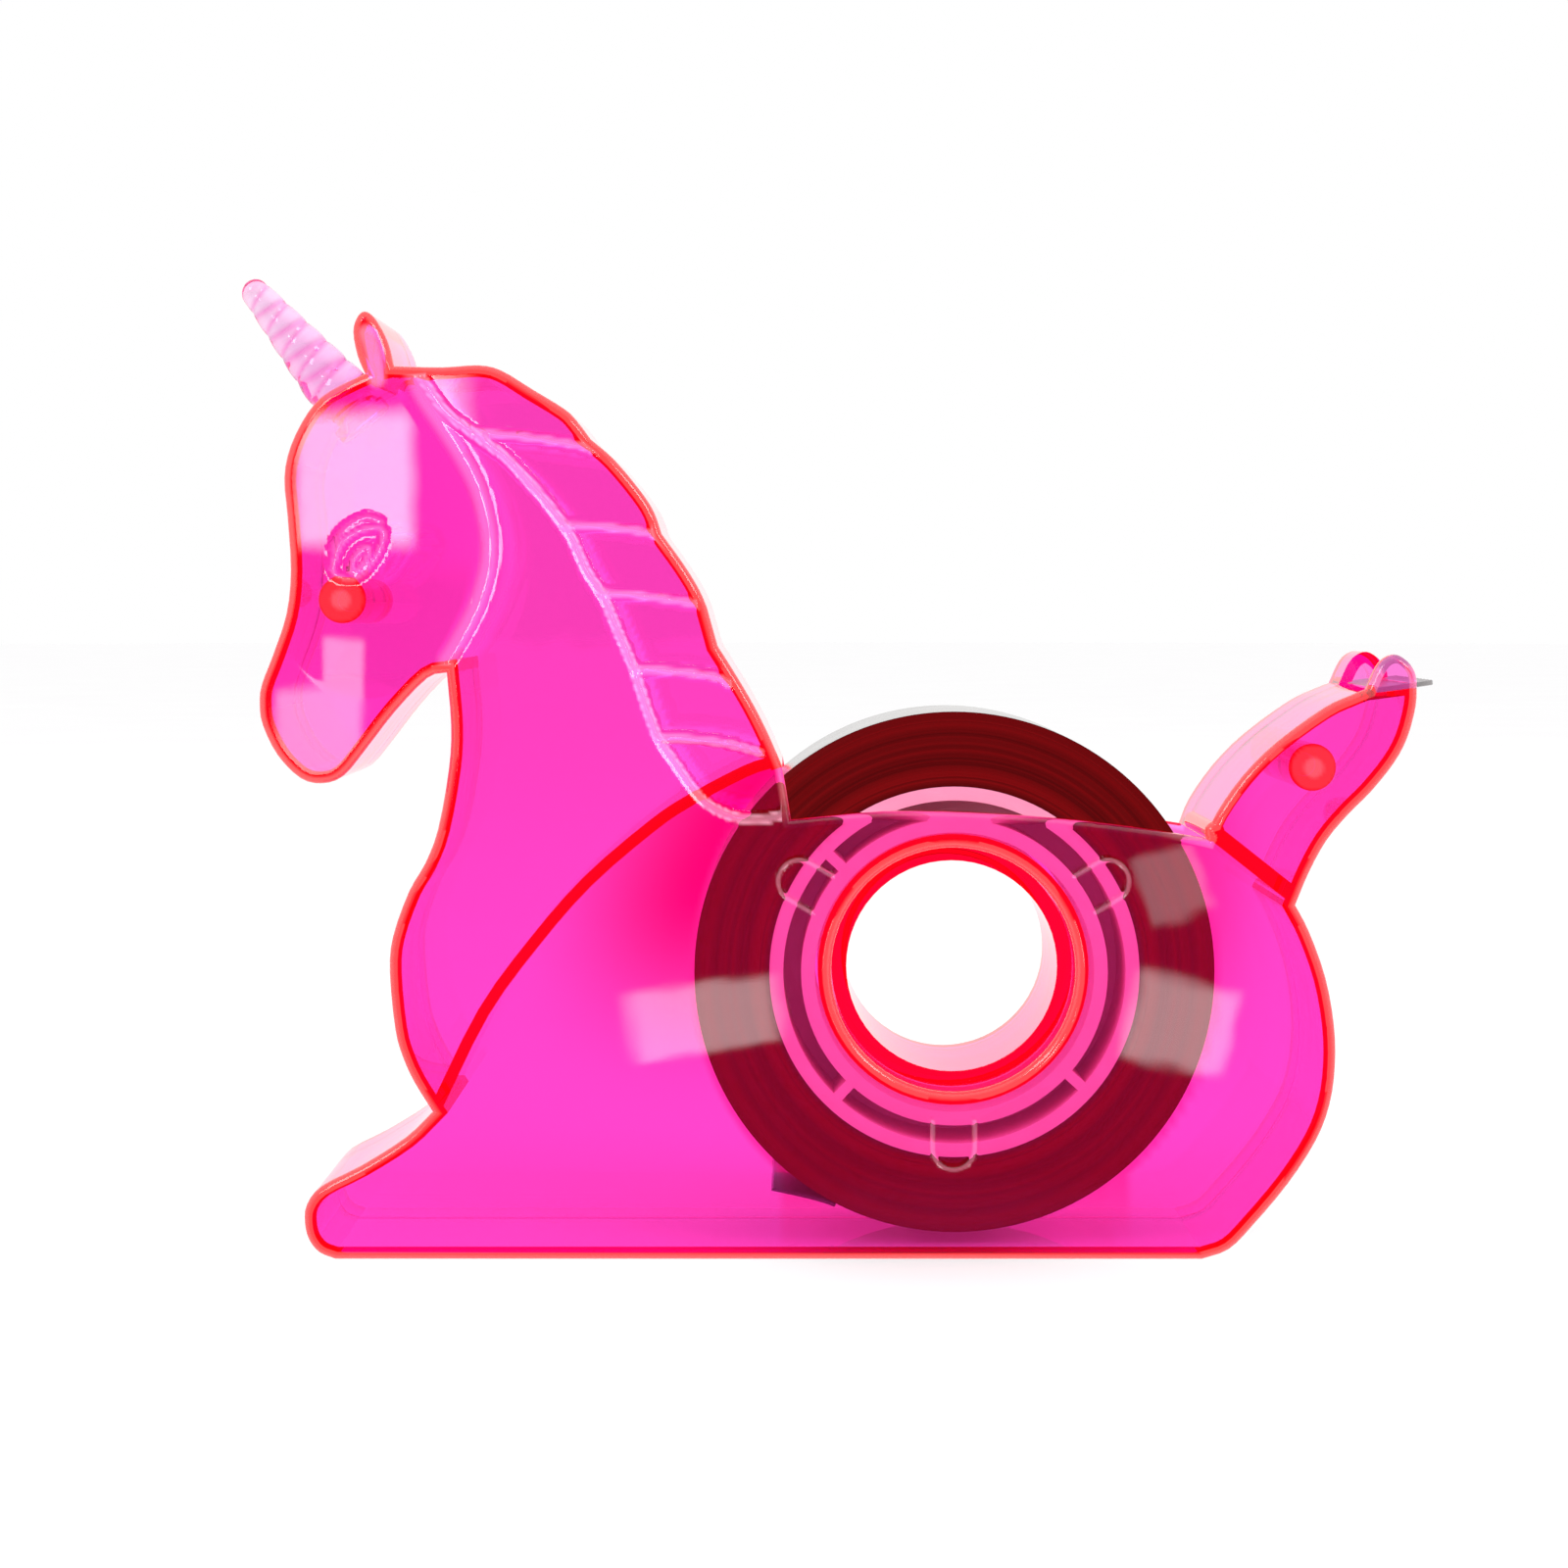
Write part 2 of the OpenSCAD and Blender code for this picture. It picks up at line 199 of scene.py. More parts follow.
@dataclass(frozen=True)
class ClearPlastic:
    """Clear coloured plastic, moulded in a polished tool: smooth, and deeper where thicker.

    The absorption is per millimetre of plastic. The glow is painted: a steady emission that stands
    in for the red light that a fluorescent pigment gives back.
    """

    name: str
    green_per_mm: float
    blue_per_mm: float
    glow: float = 0.0
    glow_colour: str = "#ff2050"
    painted_gleam: float = 0.0
    painted_gleam_colour: str = "#ffb8d2"
    rim: float = 0.0
    rim_colour: str = "#ff8a88"
    painted_dark_tint: str = "#ffffff"
    roughness: float = 0.02
    ior: float = 1.57
    flow_scale: float = 90.0
    flow_depth_mm: float = 0.4

    def build(self) -> Material:
        """Make the material."""
        material, tree, out = new_material(self.name)
        place = add_node(tree, "ShaderNodeTexCoord")
        # Faint flow of the melt in the tool, a few millimetres long, too shallow to feel
        flow = add_node(tree, "ShaderNodeTexNoise", inputs={
            "Vector": place.outputs["Object"], "Scale": self.flow_scale, "Detail": 2.0})
        bump = add_node(tree, "ShaderNodeBump", inputs={
            "Height": flow.outputs["Fac"], "Strength": 0.05,
            "Distance": self.flow_depth_mm * MM})
        # Painted reflection: near the roll the plates' pink is deepened where they would mirror
        # its dark film; on the horn the same tint is painted shade in the thread's valleys
        dark_tint_share = add_node(tree, "ShaderNodeAttribute", {"attribute_name": DARK_TINT_PAINT})
        tint = add_node(tree, "ShaderNodeMix", {"data_type": "RGBA"}, {
            0: dark_tint_share.outputs["Fac"], 6: (1.0, 1.0, 1.0, 1.0), 7: linear(self.painted_dark_tint)})
        # Painted highlight: emission draws pale strokes where the flanks of moulded lines would
        # catch the lamps, and painted glow lights the rims
        light = self.glow_node(tree)
        shader = add_node(tree, "ShaderNodeBsdfPrincipled", inputs={
            "Base Color": tint.outputs[2], "Roughness": self.roughness, "IOR": self.ior,
            "Transmission Weight": 1.0, "Emission Color": light, "Emission Strength": 1.0,
            "Normal": bump.outputs["Normal"]})
        densest = max(self.green_per_mm, self.blue_per_mm)
        absorb = add_node(tree, "ShaderNodeVolumeAbsorption", inputs={
            "Color": (1.0, 1.0 - self.green_per_mm / densest,
                      1.0 - self.blue_per_mm / densest, 1.0),
            "Density": densest / MM})
        tree.links.new(shader.outputs["BSDF"], out.inputs["Surface"])
        tree.links.new(absorb.outputs["Volume"], out.inputs["Volume"])
        material.cycles.emission_sampling = "NONE"
        return material

    def glow_node(self, tree: NodeTree) -> NodeSocket:
        """The painted glow of the surface, with the painted highlight of lines and the painted
        glow of rims added.

        Args:
            tree: the material's node tree.

        Returns:
            A colour socket.
        """
        level = [self.glow * c for c in linear(self.glow_colour)[:3]]
        socket = None
        for name, strength, colour in ((RIM_GLOW_PAINT, self.rim, self.rim_colour),
                                       (HIGHLIGHT_PAINT, self.painted_gleam, self.painted_gleam_colour)):
            share = add_node(tree, "ShaderNodeAttribute", {"attribute_name": name})
            added = [strength * c for c in linear(colour)[:3]]
            mix = add_node(tree, "ShaderNodeMix", {"data_type": "RGBA", "blend_type": "ADD"}, {
                0: share.outputs["Fac"], 6: socket or (*level, 1.0), 7: (*added, 1.0)})
            socket = mix.outputs[2]
        return socket


@dataclass(frozen=True)
class WoundFilm:
    """Edges of wound clear tape: hundreds of turns, seen as fine rings round the roll."""

    name: str
    dark: str
    light: str
    centre_mm: Point = ROLL_CENTRE
    ring_mm: float = 0.4
    ring_depth_mm: float = 0.06
    roughness: float = 0.3
    shine: float = 0.06

    def build(self) -> Material:
        """Make the material."""
        material, tree, out = new_material(self.name)
        place = add_node(tree, "ShaderNodeTexCoord")
        centred = add_node(tree, "ShaderNodeVectorMath", {"operation": "SUBTRACT"}, {
            0: place.outputs["Object"], 1: mm(self.centre_mm[0], 0.0, self.centre_mm[1])})
        flat = add_node(tree, "ShaderNodeVectorMath", {"operation": "MULTIPLY"}, {
            0: centred.outputs[0], 1: (1.0, 0.0, 1.0)})
        radius = add_node(tree, "ShaderNodeVectorMath", {"operation": "LENGTH"}, {
            0: flat.outputs[0]})
        # One turn of tape is 0.05 mm, so the rings are drawn eight times as coarse
        rings = add_node(tree, "ShaderNodeTexNoise", {"noise_dimensions": "1D"}, {
            "W": radius.outputs["Value"], "Scale": 1.0 / (self.ring_mm * MM), "Detail": 3.0,
            "Roughness": 0.7})
        bands = add_node(tree, "ShaderNodeTexNoise", {"noise_dimensions": "1D"}, {
            "W": radius.outputs["Value"], "Scale": 1.0 / (6 * self.ring_mm * MM), "Detail": 1.0})
        both = add_node(tree, "ShaderNodeMath", {"operation": "MULTIPLY"}, {
            0: rings.outputs["Fac"], 1: bands.outputs["Fac"]})
        ramp = add_node(tree, "ShaderNodeMapRange", inputs={
            "Value": both.outputs[0], "From Min": 0.1, "From Max": 0.42})
        tint = add_node(tree, "ShaderNodeMix", {"data_type": "RGBA"}, {
            0: ramp.outputs[0], 6: linear(self.dark), 7: linear(self.light)})
        bump = add_node(tree, "ShaderNodeBump", inputs={
            "Height": rings.outputs["Fac"], "Strength": 0.35,
            "Distance": self.ring_depth_mm * MM})
        shader = add_node(tree, "ShaderNodeBsdfPrincipled", inputs={
            "Base Color": tint.outputs[2], "Roughness": self.roughness,
            "Specular IOR Level": self.shine, "Normal": bump.outputs["Normal"]})
        tree.links.new(shader.outputs["BSDF"], out.inputs["Surface"])
        return material


@dataclass(frozen=True)
class SmoothPlastic:
    """Smooth film, plastic or paint that hides what is behind it, slightly uneven in tone."""

    name: str
    colour: str
    second: str
    patch_mm: float = 3.0
    roughness: float = 0.2
    coat: float = 0.0
    shine: float = 0.5

    def build(self) -> Material:
        """Make the material."""
        material, tree, out = new_material(self.name)
        place = add_node(tree, "ShaderNodeTexCoord")
        cloud = add_node(tree, "ShaderNodeTexNoise", inputs={
            "Vector": place.outputs["Object"], "Scale": 1.0 / (self.patch_mm * MM),
            "Detail": 3.0})
        tint = add_node(tree, "ShaderNodeMix", {"data_type": "RGBA"}, {
            0: cloud.outputs["Fac"], 6: linear(self.colour), 7: linear(self.second)})
        gloss = add_node(tree, "ShaderNodeMapRange", inputs={
            "Value": cloud.outputs["Fac"], "To Min": self.roughness * 0.8,
            "To Max": self.roughness * 1.25})
        shader = add_node(tree, "ShaderNodeBsdfPrincipled", inputs={
            "Base Color": tint.outputs[2], "Roughness": gloss.outputs[0],
            "Specular IOR Level": self.shine, "Coat Weight": self.coat, "Coat Roughness": 0.05})
        tree.links.new(shader.outputs["BSDF"], out.inputs["Surface"])
        return material


@dataclass(frozen=True)
class StampedSteel:
    """Cold-rolled steel strip, stamped: grey, with fine rolling lines along the strip."""

    name: str = "stamped_spring_steel"
    colour: str = "#aeaaaa"
    line_mm: float = 0.12
    line_depth_mm: float = 0.01
    roughness: float = 0.32
    metallic: float = 0.6

    def build(self) -> Material:
        """Make the material."""
        material, tree, out = new_material(self.name)
        place = add_node(tree, "ShaderNodeTexCoord")
        stretch = add_node(tree, "ShaderNodeMapping", inputs={
            "Vector": place.outputs["Object"], "Scale": (1.0, 0.04, 1.0)})
        lines = add_node(tree, "ShaderNodeTexNoise", inputs={
            "Vector": stretch.outputs[0], "Scale": 1.0 / (self.line_mm * MM), "Detail": 2.0})
        gloss = add_node(tree, "ShaderNodeMapRange", inputs={
            "Value": lines.outputs["Fac"], "To Min": self.roughness - 0.08,
            "To Max": self.roughness + 0.12})
        bump = add_node(tree, "ShaderNodeBump", inputs={
            "Height": lines.outputs["Fac"], "Strength": 0.2,
            "Distance": self.line_depth_mm * MM})
        shader = add_node(tree, "ShaderNodeBsdfPrincipled", inputs={
            "Base Color": linear(self.colour), "Metallic": self.metallic,
            "Roughness": gloss.outputs[0], "Normal": bump.outputs["Normal"]})
        tree.links.new(shader.outputs["BSDF"], out.inputs["Surface"])
        return material


# ---- surface relief


def spline(points: Sequence[Point], per_span: int = 6) -> np.ndarray:
    """Points along a smooth curve through given points.

    Args:
        points: X and Z in millimetres.
        per_span: pieces between two neighbours.

    Returns:
        An array of X and Z rows.
    """
    p = np.array(points, float)
    p = np.vstack([2 * p[0] - p[1], p, 2 * p[-1] - p[-2]])
    rows = []
    for i in range(1, len(p) - 2):
        a, b, c, d = p[i - 1:i + 3]
        for t in np.linspace(0, 1, per_span, endpoint=False):
            rows.append(0.5 * (2 * b + (c - a) * t + (2 * a - 5 * b + 4 * c - d) * t ** 2
                               + (3 * b - a - 3 * c + d) * t ** 3))
    rows.append(p[-2])
    return np.array(rows)


def line_distance(at: np.ndarray, line: np.ndarray) -> tuple[np.ndarray, np.ndarray]:
    """Distance from points to a line of short pieces, and on which side they lie.

    Args:
        at: X and Z rows in millimetres.
        line: X and Z rows of the line.

    Returns:
        The distance, and the same distance with a plus sign to the left of the line's run.
    """
    best = np.full(len(at), 1e9)
    signed = np.zeros(len(at))
    for a, b in zip(line[:-1], line[1:]):
        run = b - a
        share = np.clip(((at - a) @ run) / (run @ run), 0, 1)
        gap = at - (a + share[:, None] * run)
        d = np.hypot(gap[:, 0], gap[:, 1])
        side = np.sign(run[0] * (at[:, 1] - a[1]) - run[1] * (at[:, 0] - a[0]))
        near = d < best
        best[near] = d[near]
        signed[near] = (side * d)[near]
    return best, signed


def ease(value: np.ndarray, low: float, high: float) -> np.ndarray:
    """Smooth step from 0 at low to 1 at high."""
    t = np.clip((value - low) / (high - low), 0, 1)
    return t * t * (3 - 2 * t)


def groove(distance: np.ndarray, half_width: float, depth: float,
           floor_share: float = 0.35) -> np.ndarray:
    """A groove with a flat floor and eased flanks: minus depth on the line, 0 beyond it."""
    return -depth * (1 - ease(distance, half_width * floor_share, half_width))


def stroke(distance: np.ndarray, half_width: float, edge: float) -> np.ndarray:
    """A stroke of 1 up to half its width that fades over its edge."""
    return 1 - ease(distance, half_width, half_width + edge)


def nearest(at: np.ndarray, lines: Sequence[Sequence[Point]], reach: float = 2.0) -> np.ndarray:
    """Distance from places to the nearest of some smooth lines.

    Args:
        at: X and Z rows in millimetres.
        lines: given points of each line.
        reach: places farther than this are not measured.

    Returns:
        The distance in millimetres, at most the reach.
    """
    found = np.full(len(at), reach)
    for points in lines:
        line = spline(points)
        low, high = line.min(axis=0) - reach, line.max(axis=0) + reach
        near = np.all((at > low) & (at < high), axis=1)
        found[near] = np.minimum(found[near], line_distance(at[near], line)[0])
    return found


@dataclass(frozen=True)
class MouldedLine:
    """One kind of line on a plate: its groove, and the painted highlight on its flanks, in mm."""

    curves: Sequence[Sequence[Point]]
    half_width: float
    depth: float
    floor_share: float
    light: float
    light_half: float
    light_edge: float

    def height(self, at: np.ndarray) -> np.ndarray:
        """The groove's height at each place, minus in the groove."""
        return groove(nearest(at, self.curves), self.half_width, self.depth, self.floor_share)

    def painted_highlight(self, at: np.ndarray) -> np.ndarray:
        """The painted highlight on the flanks at each place, from 0 to 1."""
        return self.light * stroke(nearest(at, self.curves), self.light_half, self.light_edge)


CHEEK: Sequence[Point] = (
    (-38.9, 82.8), (-37.8, 80.2), (-36.0, 77.5), (-34.1, 74.5), (-32.7, 71.7), (-31.9, 68.8),
    (-31.6, 66.4), (-31.8, 64.1), (-32.5, 61.5), (-33.3, 59.6), (-34.6, 57.2), (-35.6, 55.6))
MANE: Sequence[Point] = (
    (-38.1, 82.2), (-35.7, 78.8), (-33.7, 77.2), (-31.8, 75.8), (-30.1, 74.5), (-28.4, 72.7),
    (-26.7, 70.8), (-25.3, 69.0), (-24.0, 67.1), (-22.6, 64.0), (-21.0, 61.5), (-19.6, 58.2),
    (-18.2, 54.9), (-17.2, 51.8), (-15.9, 48.4), (-14.3, 46.0), (-12.3, 43.2), (-10.7, 41.9),
    (-8.7, 41.1), (-6.4, 40.9), (-4.4, 41.3))
LOCKS: Sequence[Sequence[Point]] = (
    ((-32.8, 76.8), (-28.4, 76.4), (-23.8, 75.7), (-22.2, 75.2)),
    ((-24.6, 68.2), (-21.6, 68.1), (-17.4, 67.6), (-15.8, 67.1)),
    ((-21.1, 61.9), (-18.0, 61.7), (-13.0, 61.0), (-11.6, 60.7)),
    ((-18.2, 54.8), (-15.1, 54.7), (-10.6, 54.1), (-9.4, 53.4)),
    ((-15.7, 48.4), (-13.3, 48.4), (-9.4, 47.9), (-6.4, 47.1)))
EYE: Sequence[Point] = (
    (-46.1, 64.1), (-45.6, 65.7), (-44.8, 66.9), (-43.2, 67.8), (-41.4, 67.7), (-41.7, 65.9),
    (-43.0, 64.0), (-44.3, 63.2), (-45.7, 63.5), (-46.1, 64.1))
PUPIL: Sequence[Point] = (
    (-44.4, 63.9), (-44.1, 65.0), (-43.2, 66.0), (-42.7, 66.1), (-42.9, 65.1), (-43.7, 64.0),
    (-44.4, 63.9))
LID: Sequence[Point] = ((-46.0, 65.8), (-45.5, 67.1), (-44.4, 68.2), (-42.9, 68.9),
                        (-41.6, 68.5))
EAR: Sequence[Point] = ((-42.0, 81.8), (-42.3, 84.0), (-42.9, 86.0))
# Middle line of the wall between the head and the tape bay
DIVIDER: Sequence[Point] = ((-36.6, 14.0), (-32.2, 22.9), (-27.4, 29.5), (-22.5, 35.1),
                            (-16.7, 40.1), (-13.2, 42.5), (-7.9, 45.3), (-5.3, 46.2))


@dataclass(frozen=True)
class FaceRelief:
    """Raised head, moulded lines and insert lines on the outer face of a side plate, in mm.

    The dome is how much the head's rise falls from its middle to its border.
    """

    dome: float
    lines: Sequence[MouldedLine] = (
        MouldedLine((CHEEK,), 1.1, 0.14, 0.0, 0.26, 0.2, 0.9),
        MouldedLine((MANE,), 0.6, 0.35, 0.3, 0.4, 0.36, 0.14),
        MouldedLine(LOCKS, 0.5, 0.3, 0.3, 0.34, 0.28, 0.14),
        MouldedLine((EYE, PUPIL), 0.35, 0.2, 0.35, 0.3, 0.08, 0.2),
        MouldedLine((LID,), 0.4, 0.12, 0.35, 0.16, 0.12, 0.25),
        MouldedLine((EAR,), 0.4, 0.0, 0.0, 0.5, 0.4, 0.7),
    )
    head_rise: float = 0.3
    head_middle: Point = (-43.0, 69.0)
    head_reach: Point = (10.5, 17.0)
    head_limits: Point = (-30.0, 44.0)
    # Painted highlight: a stroke along the mane's edge, and on the posts' ends a ring with a
    # brighter middle
    mane_edge_at: float = 0.36
    mane_edge_light: float = 0.7
    posts: Sequence[Point] = ((-45.3, 61.3), (44.9, 45.7))
    post_light: float = 0.07
    post_core_light: float = 0.16
    insert_angles: Sequence[float] = (30.0, 150.0, 270.0)
    insert_start: float = 13.9
    insert_reach: float = 18.5
    insert_half: float = 1.95
    insert_depth: float = 0.2
    # Painted highlight in the insert lines
    insert_light: float = 0.24
    # Painted reflection of the dark roll: its strength over the roll, and how it fades beside the
    # roll, in the bay and towards the tail
    roll_tint: float = 0.8
    bay_fade: Point = (25.0, 42.0)
    bay_rise: Point = (12.0, 34.0)
    tail_fade: Point = (36.0, 42.0)
    tail_share: float = 0.6

    def height(self, at: np.ndarray) -> np.ndarray:
        """How far the surface stands out at each place.

        Args:
            at: X and Z rows in millimetres.

        Returns:
            The height in millimetres.
        """
        _, cheek = line_distance(at, spline(CHEEK))
        in_head = (at[:, 0] < self.head_limits[0]) & (at[:, 1] > self.head_limits[1])
        head = ease(-cheek, -0.4, 1.6) * in_head
        across, along = ((at - np.array(self.head_middle)) / np.array(self.head_reach)).T
        dome = np.clip(1 - across ** 2 - along ** 2, 0, 1)
        rise = head * (self.head_rise - self.dome * (1 - dome))
        rise += sum(line.height(at) for line in self.lines)
        return rise + sum(self.insert_line(at, angle) for angle in self.insert_angles)

    def painted_highlight(self, at: np.ndarray) -> np.ndarray:
        """How much painted highlight the moulded lines, the mane's edge, the posts' ends and the
        insert lines get.

        Args:
            at: X and Z rows in millimetres.

        Returns:
            From 0 to 1.
        """
        strokes = [line.painted_highlight(at) for line in self.lines]
        mane_edge = np.abs(nearest(at, (MANE,)) - self.mane_edge_at)
        strokes.append(self.mane_edge_light * stroke(mane_edge, 0.03, 0.12))
        for post in self.posts:
            radius = np.hypot(at[:, 0] - post[0], at[:, 1] - post[1])
            strokes.append(self.post_light * stroke(radius, 1.9, 0.3)
                           + self.post_core_light * stroke(radius, 0.7, 0.4))
        for angle in self.insert_angles:
            share = -self.insert_line(at, angle) / self.insert_depth
            strokes.append(share * self.insert_light)
        return np.clip(np.max(strokes, axis=0), 0, 1)

    def painted_dark_tint(self, at: np.ndarray) -> np.ndarray:
        """How much painted reflection deepens the plate's pink, where it would mirror the dark
        roll beside or behind it.

        Args:
            at: X and Z rows in millimetres.

        Returns:
            From 0 to 1.
        """
        radius = np.hypot(at[:, 0] - ROLL_CENTRE[0], at[:, 1] - ROLL_CENTRE[1])
        outside = ease(radius, ROLL_OUTER_R - 0.05, ROLL_OUTER_R + 0.75)
        over = self.roll_tint * ease(radius, ROLL_INNER_R - 0.25, ROLL_INNER_R + 0.35)
        _, beyond = line_distance(at, np.array(DIVIDER))
        beside = ((1 - ease(radius, *self.bay_fade)) * ease(at[:, 1], *self.bay_rise)
                  * (1 - ease(beyond, -0.5, 0.5)))
        beside *= np.where(at[:, 0] > ROLL_CENTRE[0],
                           self.tail_share * (1 - ease(at[:, 0], *self.tail_fade)), 1.0)
        return over * (1 - outside) + outside * beside

    def insert_line(self, at: np.ndarray, angle: float) -> np.ndarray:
        """The thin U-shaped parting line of a mould insert beside the hub.

        Args:
            at: X and Z rows in millimetres.
            angle: the insert's direction from the hub, in degrees.

        Returns:
            The height in millimetres, minus in the line.
        """
        turn = math.radians(angle)
        x, z = at[:, 0] - HUB[0], at[:, 1] - HUB[1]
        along = x * math.cos(turn) + z * math.sin(turn)
        across = z * math.cos(turn) - x * math.sin(turn)
        past = np.maximum(along - (self.insert_reach - self.insert_half), 0.0)
        line = groove(np.abs(np.hypot(past, across) - self.insert_half), 0.22,
                      self.insert_depth)
        return np.where(along > self.insert_start, line, 0.0)


def outer_faces(bm: BMesh, plane_mm: float) -> list[BMFace]:
    """Faces that lie in the plate's outer plane.

    Args:
        bm: the mesh.
        plane_mm: Y of the plane in millimetres.

    Returns:
        The faces.
    """
    return [f for f in bm.faces if abs(f.normal.y) > 0.999
            and abs(f.calc_center_median().y - plane_mm * MM) < 0.01 * MM]


def cut_at(bm: BMesh, faces: list[BMFace], axis: int,
           places: Sequence[float]) -> list[BMFace]:
    """Cut faces at several places along an axis, halving the set of faces each time.

    Args:
        bm: the mesh.
        faces: the faces to cut.
        axis: 0 for X, 2 for Z.
        places: rising coordinates in millimetres.

    Returns:
        The faces after the cuts.
    """
    if not places or not faces:
        return faces
    middle = len(places) // 2
    normal = Vector((1, 0, 0)) if axis == 0 else Vector((0, 0, 1))
    geom = faces + list({e for f in faces for e in f.edges}) + list(
        {v for f in faces for v in f.verts})
    cut = bmesh.ops.bisect_plane(bm, geom=geom, dist=0.002 * MM, plane_no=normal,
                                 plane_co=normal * places[middle] * MM)["geom"]
    low, high = [], []
    for face in (f for f in cut if isinstance(f, BMFace)):
        below = face.calc_center_median()[axis] < places[middle] * MM
        (low if below else high).append(face)
    return (cut_at(bm, low, axis, places[:middle])
            + cut_at(bm, high, axis, places[middle + 1:]))


def grid_cut(bm: BMesh, plane_mm: float, low: Point, high: Point,
             pitch_mm: float) -> None:
    """Cut a flat outer plane into a square grid inside a rectangle.

    Args:
        bm: the mesh.
        plane_mm: Y of the outer plane in millimetres.
        low: lowest X and Z in millimetres.
        high: highest X and Z in millimetres.
        pitch_mm: the grid's pitch.
    """
    for axis, start, stop in ((0, low[0], high[0]), (2, low[1], high[1])):
        count = max(1, round((stop - start) / pitch_mm))
        places = [start + (stop - start) * i / count for i in range(count + 1)]
        cut_at(bm, outer_faces(bm, plane_mm), axis, places)


# ---- the pieces


@dataclass
class ShellHalf:
    """One moulded half: the side plate with its walls, rounded rim and raised decoration."""

    node: str
    outward: float
    relief: FaceRelief
    pitch_mm: float
    coarse_pitch_mm: float
    outer_mm: float = 11.0
    rim_mm: float = 0.8
    rim_steps: int = 4
    hold_mm: float = 0.06
    fine_pitch_mm: float = 0.14
    grid_low: Point = (-53.5, 40.0)
    grid_high: Point = (-3.0, 87.5)
    bay_low: Point = (-34.0, 10.0)
    bay_high: Point = (43.0, 46.5)
    insert_spare: float = 0.4
    post_spare: float = 2.4
    wall_depth_mm: float = 5.0
    lit_reach_mm: float = 1.4

    def build(self, clear: Material) -> Object:
        """Make the half.

        Args:
            clear: the plastic.

        Returns:
            The piece.
        """
        plane = self.outer_mm * self.outward
        bm = merged_copy(self.node)
        for name in (HIGHLIGHT_PAINT, DARK_TINT_PAINT, RIM_GLOW_PAINT):
            bm.verts.layers.float.new(name)
        walls = self.wall_lines(bm)
        self.round_rim(bm, plane)
        grid_cut(bm, plane, self.bay_low, self.bay_high, self.coarse_pitch_mm)
        grid_cut(bm, plane, self.grid_low, self.grid_high, self.pitch_mm)
        for angle in self.relief.insert_angles:
            low, high = self.insert_box(angle)
            grid_cut(bm, plane, low, high, self.fine_pitch_mm)
        x, z = self.relief.posts[1]
        grid_cut(bm, plane, (x - self.post_spare, z - self.post_spare),
                 (x + self.post_spare, z + self.post_spare), self.pitch_mm)
        self.raise_relief(bm, plane)
        self.paint_rim_glow(bm, plane, walls)
        half = finish_mesh(bm, self.node + "_moulded", [clear], smooth_angle=32.0)
        # Clear plastic hardly shades what is inside it or under it
        half.visible_shadow = False
        half.visible_diffuse = False
        return half

    def wall_lines(self, bm: BMesh) -> np.ndarray:
        """Places along the outline that have a full wall behind them, X and Z rows in mm."""
        found = []
        for face in bm.faces:
            depths = [v.co.y for v in face.verts]
            if abs(face.normal.y) > 0.1 or max(depths) - min(depths) < self.wall_depth_mm * MM:
                continue
            corners = {(round(v.co.x / MM, 3), round(v.co.z / MM, 3)) for v in face.verts}
            ends = np.array(sorted(corners))
            for t in np.linspace(0, 1, 5):
                found.append(ends[0] * (1 - t) + ends[-1] * t)
        return np.array(found)

    def insert_box(self, angle: float) -> tuple[Point, Point]:
        """Rectangle round one mould insert's line, lowest and highest X and Z in mm."""
        relief = self.relief
        turn = math.radians(angle)
        ends = [(HUB[0] + r * math.cos(turn), HUB[1] + r * math.sin(turn))
                for r in (relief.insert_start, relief.insert_reach - relief.insert_half)]
        spare = relief.insert_half + self.insert_spare
        low = (min(e[0] for e in ends) - spare, min(e[1] for e in ends) - spare)
        high = (max(e[0] for e in ends) + spare, max(e[1] for e in ends) + spare)
        return low, high

    def round_rim(self, bm: BMesh, plane: float) -> None:
        """Round the outer plane's border with steps of a quarter circle.

        Args:
            bm: the mesh.
            plane: Y of the outer plane in millimetres.
        """
        faces = outer_faces(bm, plane)
        for vert in {v for f in faces for v in f.verts}:
            vert.co.y -= self.outward * self.rim_mm * MM
        for step in range(self.rim_steps):
            a = math.pi / 2 * step / self.rim_steps
            b = math.pi / 2 * (step + 1) / self.rim_steps
            inward = self.rim_mm * (math.cos(a) - math.cos(b))
            outward = self.rim_mm * (math.sin(b) - math.sin(a))
            bmesh.ops.inset_region(bm, faces=faces, thickness=inward * MM, depth=0.0,
                                   use_boundary=True, use_even_offset=True)
            for vert in {v for f in faces for v in f.verts}:
                vert.co.y += self.outward * outward * MM
        # A narrow flat ring on each side keeps the shading of the flat faces flat
        bmesh.ops.inset_region(bm, faces=faces, thickness=self.hold_mm * MM, depth=0.0,
                               use_boundary=True, use_even_offset=True)
        behind = plane - self.outward * (self.rim_mm + self.hold_mm)
        bmesh.ops.bisect_plane(bm, geom=bm.verts[:] + bm.edges[:] + bm.faces[:],
                               dist=0.002 * MM, plane_co=mm(0, behind, 0), plane_no=(0, 1, 0))

    def raise_relief(self, bm: BMesh, plane: float) -> None:
        """Move the outer plane's corners out or in by the relief, and store its painted highlight
        and painted dark tint there.

        Args:
            bm: the mesh.
            plane: Y of the outer plane in millimetres.
        """
        verts = list({v for f in outer_faces(bm, plane) for v in f.verts})
        at = np.array([(v.co.x, v.co.z) for v in verts]) / MM
        rises = self.relief.height(at)
        light, depth = self.relief.painted_highlight(at), self.relief.painted_dark_tint(at)
        painted_gleam, dark_tint_layer = (bm.verts.layers.float[name] for name in (HIGHLIGHT_PAINT, DARK_TINT_PAINT))
        for i, vert in enumerate(verts):
            vert.co.y += self.outward * rises[i] * MM
            vert[painted_gleam], vert[dark_tint_layer] = light[i], depth[i]

